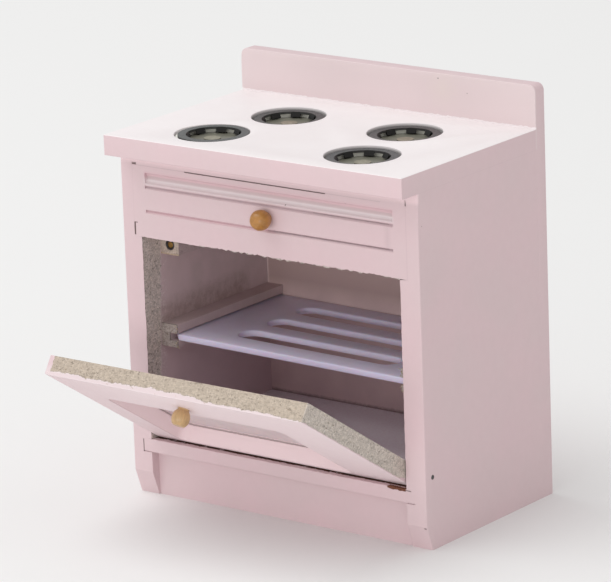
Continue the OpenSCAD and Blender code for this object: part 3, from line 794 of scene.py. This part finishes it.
def fibres(places, thickness, seed):
    """Torn fibres: thin bent spikes, each rooted at a place and leaning in its direction."""
    shape = bmesh.new()
    for k, (root, lean, size) in enumerate(places):
        start = len(shape.verts)
        bmesh.ops.create_cone(shape, cap_ends=True, segments=5, radius1=thickness,
                              radius2=thickness * 0.35, depth=size)
        shape.verts.ensure_lookup_table()
        long = [edge for vert in shape.verts[start:] if vert.co.z < 0 for edge in vert.link_edges
                if edge.calc_length() > size / 2]
        bmesh.ops.subdivide_edges(shape, edges=long, cuts=3)
        shape.verts.ensure_lookup_table()
        verts = shape.verts[start:]
        bmesh.ops.translate(shape, verts=verts, vec=(0, 0, size * 0.4))
        bow = 0.25 * size * math.sin(seed + 2.3 * k)
        for vert in verts:
            vert.co.x += bow * (vert.co.z / size) ** 2
        turn = Vector(lean).normalized().to_track_quat("Z", "Y").to_matrix()
        bmesh.ops.rotate(shape, verts=verts, cent=(0, 0, 0), matrix=turn)
        bmesh.ops.translate(shape, verts=verts, vec=root)
    return shape


def stamp(shape, test):
    """Writes the attribute that finishes read: one on the faces that pass test, else nought."""
    layer = shape.loops.layers.float_color.new(DEEP)
    for face in shape.faces:
        value = 1.0 if test([vert.co for vert in face.verts]) else 0.0
        for loop in face.loops:
            loop[layer] = (value, value, value, 1.0)


def add_object(name, data):
    added = bpy.data.objects.new(name, data)
    bpy.context.scene.collection.objects.link(added)
    return added


def make_piece(shape, name, body, look, nodes=(), limit=16.0):
    """Makes a shape a piece that rides on a body and stands for the CAD nodes given."""
    smooth_curves(shape, limit)
    mesh = bpy.data.meshes.new(name)
    shape.to_mesh(mesh)
    shape.free()
    mesh.materials.append(finish(look))
    piece = add_object(name, mesh)
    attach(piece, body)
    if nodes:
        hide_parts(*nodes)


def dress(shape, node, ending, look, body="body"):
    """Makes a shape the piece that stands for one CAD node, named after it."""
    make_piece(shape, node + ending, body, look, (node,))


# The parts of the oven

class OVEN_OT_boards(bpy.types.Operator):
    """Dress the side panels, back panel, kick board and oven floor"""
    bl_idname = "oven.boards"
    bl_label = "Body boards"

    def execute(self, context):
        sizes = context.scene.oven_sizes
        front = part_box("drawer_front")[0].y
        for name, sign in (("left_side", -1), ("right_side", 1)):
            low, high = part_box(name)
            outer, inner = (high.x, low.x) if sign > 0 else (low.x, high.x)
            shape = copy_of(name)

            def long_edge(p):
                return (on(p.x, outer) and p.y < high.y - TOUCH
                        and low.z + TOUCH < p.z < high.z - TOUCH)
            edges = [edge for edge in sharp_edges(shape, long_edge)
                     if edge.calc_length() > 1.5 * MM]
            round_off(shape, edges, sizes.board_round)
            slice_across(shape, Z, 13 * MM, 56 * MM, 2 * sizes.saw_step)

            def stile(p):
                return on(p.y, front) and on(p.x, inner) and 13 * MM < p.z < 56.5 * MM
            tear(shape, stile, X, amount=0.06 * MM, grain=1.6 * MM, seed=5.0)
            dress(shape, name, "_painted", "oven_sides")
        low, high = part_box("back_panel")
        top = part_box("worktop")[1].z
        shape = copy_of("back_panel")

        def upstand(p):
            return p.z > top - TOUCH or (on(p.y, high.y) and p.z > low.z + TOUCH)
        edges = [edge for edge in sharp_edges(shape, upstand)
                 if all(v.co.z > top - TOUCH for v in edge.verts)
                 or all(on(v.co.y, high.y) for v in edge.verts)]
        round_off(shape, edges, sizes.board_round)
        dress(shape, "back_panel", "_painted", "oven_back")
        shape = copy_of("kick_board")
        dress(shape, "kick_board", "_painted", "oven_boards")
        low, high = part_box("oven_floor")
        shape = copy_of("oven_floor")

        def under(p):
            return on(p.y, low.y) and on(p.z, low.z)
        round_off(shape, sharp_edges(shape, under), sizes.rail_round, segments=4)
        slice_across(shape, X, low.x, high.x, sizes.saw_step)

        def lip(p):
            return on(p.y, low.y) and on(p.z, high.z)
        tear(shape, lip, Z, amount=0.05 * MM, grain=0.9 * MM, seed=2.0)
        dress(shape, "oven_floor", "_painted", "oven_floor")
        return {"FINISHED"}


class OVEN_OT_worktop(bpy.types.Operator):
    """Dress the worktop with its four pockets"""
    bl_idname = "oven.worktop"
    bl_label = "Worktop"

    def execute(self, context):
        sizes = context.scene.oven_sizes
        low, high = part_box("worktop")
        shape = copy_of("worktop")

        def outside(p):
            return on(abs(p.x), high.x) or on(p.y, low.y) or on(p.y, high.y)
        rims = sharp_edges(shape, lambda p: on(p.z, high.z) and not outside(p))
        round_off(shape, rims, sizes.rim_round)

        def brim(p):
            return (outside(p) and p.y < high.y - TOUCH
                    and (p.z > low.z + TOUCH or on(p.y, low.y)))
        round_off(shape, sharp_edges(shape, brim), sizes.rim_round)
        dress(shape, "worktop", "_painted", "oven_worktop")
        return {"FINISHED"}


class OVEN_OT_drawer_front(bpy.types.Operator):
    """Dress the false drawer front with its mouldings and its torn lower edge"""
    bl_idname = "oven.drawer_front"
    bl_label = "False drawer front"

    def execute(self, context):
        sizes = context.scene.oven_sizes
        low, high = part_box("drawer_front")
        shape = copy_of("drawer_front")

        def cove(p):
            """On the two long edges of the cove below the top moulding."""
            return on(p.y, low.y) and 67.9 * MM < p.z < 71.0 * MM
        edges = [edge for edge in sharp_edges(shape, cove, 10.0) if edge.calc_length() > 20 * MM]
        round_off(shape, edges, 0.3 * MM, segments=4)
        slice_across(shape, X, low.x + 2 * MM, high.x - 2 * MM, sizes.saw_step)

        def lower(p):
            if not on(p.z, low.z) or abs(p.x) > 33.1 * MM:
                return 0.0
            return min(1.0, max(0.25, (p.x / MM + 22) / 12))  # torn less towards the left
        tear(shape, lower, Z, amount=sizes.saw_depth, grain=0.8 * MM, seed=9.0)
        dress(shape, "drawer_front", "_painted", "oven_drawer")
        return {"FINISHED"}


class OVEN_OT_door(bpy.types.Operator):
    """Dress the door: frame, window sheet, tack and the fibres of its bare edges"""
    bl_idname = "oven.door"
    bl_label = "Door"

    def execute(self, context):
        sizes = context.scene.oven_sizes
        shape = copy_of("door_frame")
        swing(shape, -OPEN)
        top = max(v.co.z for v in shape.verts)
        outer = min(v.co.y for v in shape.verts)
        inner = max(v.co.y for v in shape.verts)
        right = max(v.co.x for v in shape.verts)

        def seen(p):
            return on(p.y, outer) and p.z < top - TOUCH and p.x < right - TOUCH
        round_off(shape, sharp_edges(shape, seen), sizes.rim_round)
        slice_across(shape, X, -32.6 * MM, 32.6 * MM, sizes.saw_step)
        slice_across(shape, Z, HINGE.z + 30 * MM, top - 0.3 * MM, sizes.saw_step)

        def crest(p):
            return on(p.z, top) and abs(p.x) < right - 0.1 * MM
        tear(shape, crest, Z, amount=0.05 * MM, grain=0.9 * MM, seed=4.0)

        def post(p):
            return on(p.x, right) and p.z < top - 0.1 * MM
        tear(shape, post, X, amount=0.05 * MM, grain=0.9 * MM, seed=6.0)
        swing(shape, OPEN)
        dress(shape, "door_frame", "_painted", "oven_door", "door")

        shape = copy_of("door_pane")
        swing(shape, -OPEN)
        round_off(shape, sharp_edges(shape, lambda p: True), 0.08 * MM, segments=2)
        swing(shape, OPEN)
        make_piece(shape, "door_window_sheet", "door", "oven_pane", ("door_pane",))
        shape = copy_of("door_tack")
        round_off(shape, sharp_edges(shape, lambda p: True), 0.06 * MM, segments=2)
        dress(shape, "door_tack", "_steel", "oven_steel", "door")

        places = []
        for k in range(26):
            along = -30.0 + 62.0 * scatter(k)
            deep = (outer + inner) / 2 + 1.75 * MM * math.sin(5.1 * k)
            lean = (math.sin(1.7 * k), 0.9 * math.cos(2.9 * k), 0.35)
            places.append((Vector((along * MM, deep, top - 0.04 * MM)), lean,
                           (0.3 + 0.45 * scatter(k, 0.37)) * MM))
        for k in range(10):
            high = 6.0 + 33.0 * scatter(k, start=0.3)
            deep = (outer + inner) / 2 + 1.6 * MM * math.sin(4.3 * k + 1.0)
            lean = (0.3, math.sin(2.3 * k), math.cos(1.9 * k))
            places.append((Vector((right - 0.04 * MM, deep, HINGE.z + high * MM)), lean,
                           (0.25 + 0.3 * scatter(k, 0.41)) * MM))
        shape = fibres(places, sizes.fibre_r, seed=1.0)
        swing(shape, OPEN)
        make_piece(shape, "door_edge_fibres", "door", "oven_fibres",
                   limit=50.0)
        return {"FINISHED"}


class OVEN_OT_knobs(bpy.types.Operator):
    """Turn the knobs of the door and of the drawer front"""
    bl_idname = "oven.knobs"
    bl_label = "Knobs"

    def execute(self, context):
        sizes = context.scene.oven_sizes

        def profile(radius, flat, belly):
            """A neck and a ball with a flattened front; belly under 1 makes it a barrel."""
            middle = 1.05 + radius / 2
            points = [(0.0, -2.6), (0.8, -2.6), (0.8, 0.0), (1.25, 0.0), (1.2, 0.25)]
            start = math.asin(0.75)  # the ball starts this far below its widest ring
            steps = 28
            for k in range(steps + 1):
                angle = -start + (math.pi / 2 + start) * k / steps
                height = radius * math.sin(angle)
                past = max(0.0, height - radius + flat)
                side = radius * max(0.0, math.cos(angle)) ** belly
                points.append((side if k < steps else 0.0,
                               middle + min(height, radius - flat + 0.15 * past)))
            return points
        flat = sizes.knob_flat / MM
        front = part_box("drawer_front")[0].y
        low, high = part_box("drawer_knob")
        at = Vector(((low.x + high.x) / 2, front, (low.z + high.z) / 2))
        shape = lathe(profile(radius=2.15, flat=flat, belly=0.9), at)
        dress(shape, "drawer_knob", "_turned", "oven_maple")
        low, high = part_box("door_knob")
        at = Vector(((low.x + high.x) / 2, HINGE.y - DOOR_FACE * MM,
                     HINGE.z + DOOR_KNOB_UP * MM))
        shape = lathe(profile(radius=1.9, flat=flat, belly=0.72), at)
        swing(shape, OPEN)
        dress(shape, "door_knob", "_turned", "oven_pale_maple", "door")
        return {"FINISHED"}


class OVEN_OT_rails(bpy.types.Operator):
    """Dress the shelf rails and the catch batten, with torn fibres at their ends"""
    bl_idname = "oven.rails"
    bl_label = "Rails and batten"

    def execute(self, context):
        sizes = context.scene.oven_sizes
        places = []
        for name in ("shelf_rail_left", "shelf_rail_right"):
            low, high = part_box(name)
            shape = copy_of(name)
            dress(shape, name, "_painted", "oven_rails")
            edge = low.x if name.endswith("right") else high.x
            for k in range(16):
                up = scatter(k)
                if 0.3 < up < 0.7:
                    continue
                root = Vector((edge + 0.25 * MM * math.sin(3.0 * k), low.y + 0.05 * MM,
                               low.z + (high.z - low.z) * up))
                lean = (math.sin(2.1 * k), -0.6, math.cos(1.7 * k))
                places.append((root, lean, (0.3 + 0.5 * scatter(k, 0.43)) * MM))
        shape = fibres(places, 1.6 * sizes.fibre_r, seed=2.0)
        make_piece(shape, "rail_end_fibres", "body", "oven_fibres",
                   limit=50.0)
        low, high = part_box("catch_batten")
        shape = copy_of("catch_batten")
        edges = sharp_edges(shape, lambda p: on(p.x, high.x) or on(p.z, low.z))
        round_off(shape, edges, 0.12 * MM, segments=2)
        dress(shape, "catch_batten", "_bare", "oven_bare_board")
        return {"FINISHED"}


class OVEN_OT_catch(bpy.types.Operator):
    """Make the catch's steel cup and its magnet"""
    bl_idname = "oven.catch"
    bl_label = "Catch"

    def execute(self, context):
        low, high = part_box("catch_cup")
        at = Vector(((low.x + high.x) / 2, low.y, (low.z + high.z) / 2))
        rim = [(1.15, -3.96), (1.15, -0.1), (1.08, 0.0), (0.85, 0.0), (0.75, -0.12), (0.75, -3.6)]
        shape = lathe([(0.0, -3.96)] + rim + [(0.0, -3.6)], at)
        dress(shape, "catch_cup", "_steel", "oven_steel")
        disc = [(0.0, -3.55), (0.72, -3.55), (0.72, -0.3), (0.6, -0.15), (0.0, -0.1)]
        shape = lathe(disc, at)
        dress(shape, "catch_magnet", "_brass", "oven_bright_brass")
        return {"FINISHED"}


class OVEN_OT_shelf(bpy.types.Operator):
    """Mould the slotted shelf"""
    bl_idname = "oven.shelf"
    bl_label = "Shelf"

    def execute(self, context):
        sizes = context.scene.oven_sizes
        shape = copy_of("oven_shelf")
        round_off(shape, sharp_edges(shape, lambda p: True, 60.0), sizes.shelf_round, segments=4)
        dress(shape, "oven_shelf", "_moulded", "oven_lilac", "shelf")
        return {"FINISHED"}


class OVEN_OT_burners(bpy.types.Operator):
    """Make the burner rings, cups and tacks"""
    bl_idname = "oven.burners"
    bl_label = "Burners"

    def execute(self, context):
        sizes = context.scene.oven_sizes
        for i in range(1, 5):
            name = "burner_ring_%d" % i
            low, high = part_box(name)
            middle = (low + high) / 2
            reach = (high.x - low.x) / 2 - 0.2 * MM
            shape = copy_of(name)

            def brim(p):
                return math.hypot(p.x - middle.x, p.y - middle.y) > reach
            round_off(shape, sharp_edges(shape, brim, 60.0), sizes.ring_round, segments=2)
            hole = (high.x - low.x) / 2 - RING_BAND * MM

            def tooth(points):
                far = [math.hypot(p.x - middle.x, p.y - middle.y) for p in points]
                return max(far) < hole + 0.3 * MM and min(far) < hole - 0.1 * MM
            # The teeth, which the ring's finish darkens, partly as painted shade
            stamp(shape, tooth)
            dress(shape, name, "_steel", "oven_burner")
            name = "burner_cup_%d" % i
            shape = copy_of(name)
            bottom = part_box(name)[0].z + 0.35 * MM
            # The bowl's bottom, which its finish darkens with painted shade and reflection
            stamp(shape, lambda points: all(p.z < bottom for p in points))
            dress(shape, name, "_bright", "oven_cup")
        shape = copy_of("burner_tacks")
        dress(shape, "burner_tacks", "_brass", "oven_brass")
        return {"FINISHED"}


class OVEN_OT_pins(bpy.types.Operator):
    """Make the two hinge pins"""
    bl_idname = "oven.pins"
    bl_label = "Hinge pins"

    def execute(self, context):
        for name in ("hinge_pin_left", "hinge_pin_right"):
            shape = copy_of(name)
            round_off(shape, sharp_edges(shape, lambda p: True), 0.08 * MM, segments=2)
            dress(shape, name, "_steel", "oven_steel")
        return {"FINISHED"}


class OVEN_OT_stage(bpy.types.Operator):
    """Set up the floor, the two lamps, the room's light and the camera"""
    bl_idname = "oven.stage"
    bl_label = "Stage"

    def execute(self, context):
        stage = context.scene.oven_stage
        shape = bmesh.new()
        bmesh.ops.create_grid(shape, x_segments=1, y_segments=1, size=stage.floor_size / 2)
        mesh = bpy.data.meshes.new("stage_floor")
        shape.to_mesh(mesh)
        shape.free()
        floor = add_object("stage_floor", mesh)
        recipe = Recipe("stage_floor")
        base = recipe.mix(recipe.cloud(60, 2.0), stage.floor, tint(stage.floor, 0.995))
        shader = recipe.put("ShaderNodeBsdfDiffuse", {"Color": base})
        recipe.put("ShaderNodeOutputMaterial", {"Surface": shader.outputs[0]})
        mesh.materials.append(recipe.finish)

        world = bpy.data.worlds.new("stage_room")
        context.scene.world = world
        world.use_nodes = True
        tree = world.node_tree
        tree.nodes.clear()

        def glow(shade, strength):
            light = tree.nodes.new("ShaderNodeBackground")
            light.inputs["Color"].default_value = (*shade, 1.0)
            light.inputs["Strength"].default_value = strength
            return light.outputs[0]
        rays = tree.nodes.new("ShaderNodeLightPath").outputs
        plain = rays["Is Camera Ray"]
        for kind in ("Is Glossy Ray", "Is Transmission Ray"):
            either = tree.nodes.new("ShaderNodeMath")
            either.operation = "MAXIMUM"
            tree.links.new(plain, either.inputs[0])
            tree.links.new(rays[kind], either.inputs[1])
            plain = either.outputs[0]
        mixed = tree.nodes.new("ShaderNodeMixShader")
        out = tree.nodes.new("ShaderNodeOutputWorld")
        tree.links.new(plain, mixed.inputs[0])
        tree.links.new(glow((1.0, 0.99, 0.985), stage.sky), mixed.inputs[1])
        tree.links.new(glow(stage.backdrop, 1.0), mixed.inputs[2])
        tree.links.new(mixed.outputs[0], out.inputs[0])

        middle = Vector((0, -0.02, 0.04))

        def hang(name, shape, width, height, power, towards, distance):
            """A soft lamp that shines at the middle of the oven and isn't seen itself."""
            lamp = bpy.data.lights.new(name, "AREA")
            lamp.shape = shape
            lamp.size = width
            lamp.size_y = height
            lamp.energy = power
            holder = add_object(name, lamp)
            direction = Vector(towards).normalized()
            holder.location = middle + direction * distance
            holder.rotation_euler = direction.to_track_quat("Z", "Y").to_euler()
            holder.visible_camera = False
        hang("main_lamp", "DISK", stage.key_size, stage.key_size, stage.key,
             (-0.35, -0.27, 0.9), stage.key_distance)
        hang("front_lamp", "RECTANGLE", stage.fill_width, stage.fill_height, stage.fill,
             (0.25, -1.0, 0.075), stage.fill_distance)

        target = Vector((-0.011615, -0.01635, 0.041417))
        a, e, r = stage.azimuth, stage.elevation, stage.roll
        back = Vector((math.sin(a) * math.cos(e), -math.cos(a) * math.cos(e), math.sin(e)))
        right = Vector((math.cos(a), math.sin(a), 0.0))
        up = back.cross(right)
        side = math.cos(r) * right + math.sin(r) * up
        top = -math.sin(r) * right + math.cos(r) * up
        camera = bpy.data.cameras.new("photo_camera")
        camera.lens = stage.lens
        camera.sensor_width = 36.0
        camera.clip_end = 50.0
        viewer = add_object("photo_camera", camera)
        turn = Matrix((side, top, back)).transposed().to_4x4()
        viewer.matrix_world = Matrix.Translation(target + back * stage.distance) @ turn
        context.scene.camera = viewer
        context.scene.view_settings.view_transform = "Standard"
        return {"FINISHED"}


PIECES = (OVEN_OT_boards, OVEN_OT_worktop, OVEN_OT_drawer_front, OVEN_OT_door, OVEN_OT_knobs,
          OVEN_OT_rails, OVEN_OT_catch, OVEN_OT_shelf, OVEN_OT_burners, OVEN_OT_pins,
          OVEN_OT_stage)


class OVEN_PT_panel(bpy.types.Panel):
    """Lists the oven's sizes, colours and parts"""
    bl_idname = "OVEN_PT_panel"
    bl_label = "Toy Oven"
    bl_space_type = "VIEW_3D"
    bl_region_type = "UI"
    bl_category = "Toy Oven"

    def draw(self, context):
        scene = context.scene
        for title, group in (("Sizes", scene.oven_sizes), ("Colours", scene.oven_colours),
                             ("Stage", scene.oven_stage)):
            column = self.layout.box().column()
            column.label(text=title)
            for key in group.bl_rna.properties.keys():
                if key not in ("rna_type", "name"):
                    column.prop(group, key)
        column = self.layout.column()
        for operator in PIECES:
            column.operator(operator.bl_idname)


CLASSES = (OvenSizes, OvenColours, StageSettings, *PIECES, OVEN_PT_panel)


def register():
    for item in CLASSES:
        bpy.utils.register_class(item)
    bpy.types.Scene.oven_sizes = PointerProperty(type=OvenSizes)
    bpy.types.Scene.oven_colours = PointerProperty(type=OvenColours)
    bpy.types.Scene.oven_stage = PointerProperty(type=StageSettings)


def unregister():
    del bpy.types.Scene.oven_stage
    del bpy.types.Scene.oven_colours
    del bpy.types.Scene.oven_sizes
    for item in reversed(CLASSES):
        bpy.utils.unregister_class(item)


def main():
    register()
    bpy.ops.oven.boards()
    bpy.ops.oven.worktop()
    bpy.ops.oven.drawer_front()
    bpy.ops.oven.door()
    bpy.ops.oven.knobs()
    bpy.ops.oven.rails()
    bpy.ops.oven.catch()
    bpy.ops.oven.shelf()
    bpy.ops.oven.burners()
    bpy.ops.oven.pins()
    bpy.ops.oven.stage()
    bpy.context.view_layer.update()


if __name__ == "__main__":
    main()
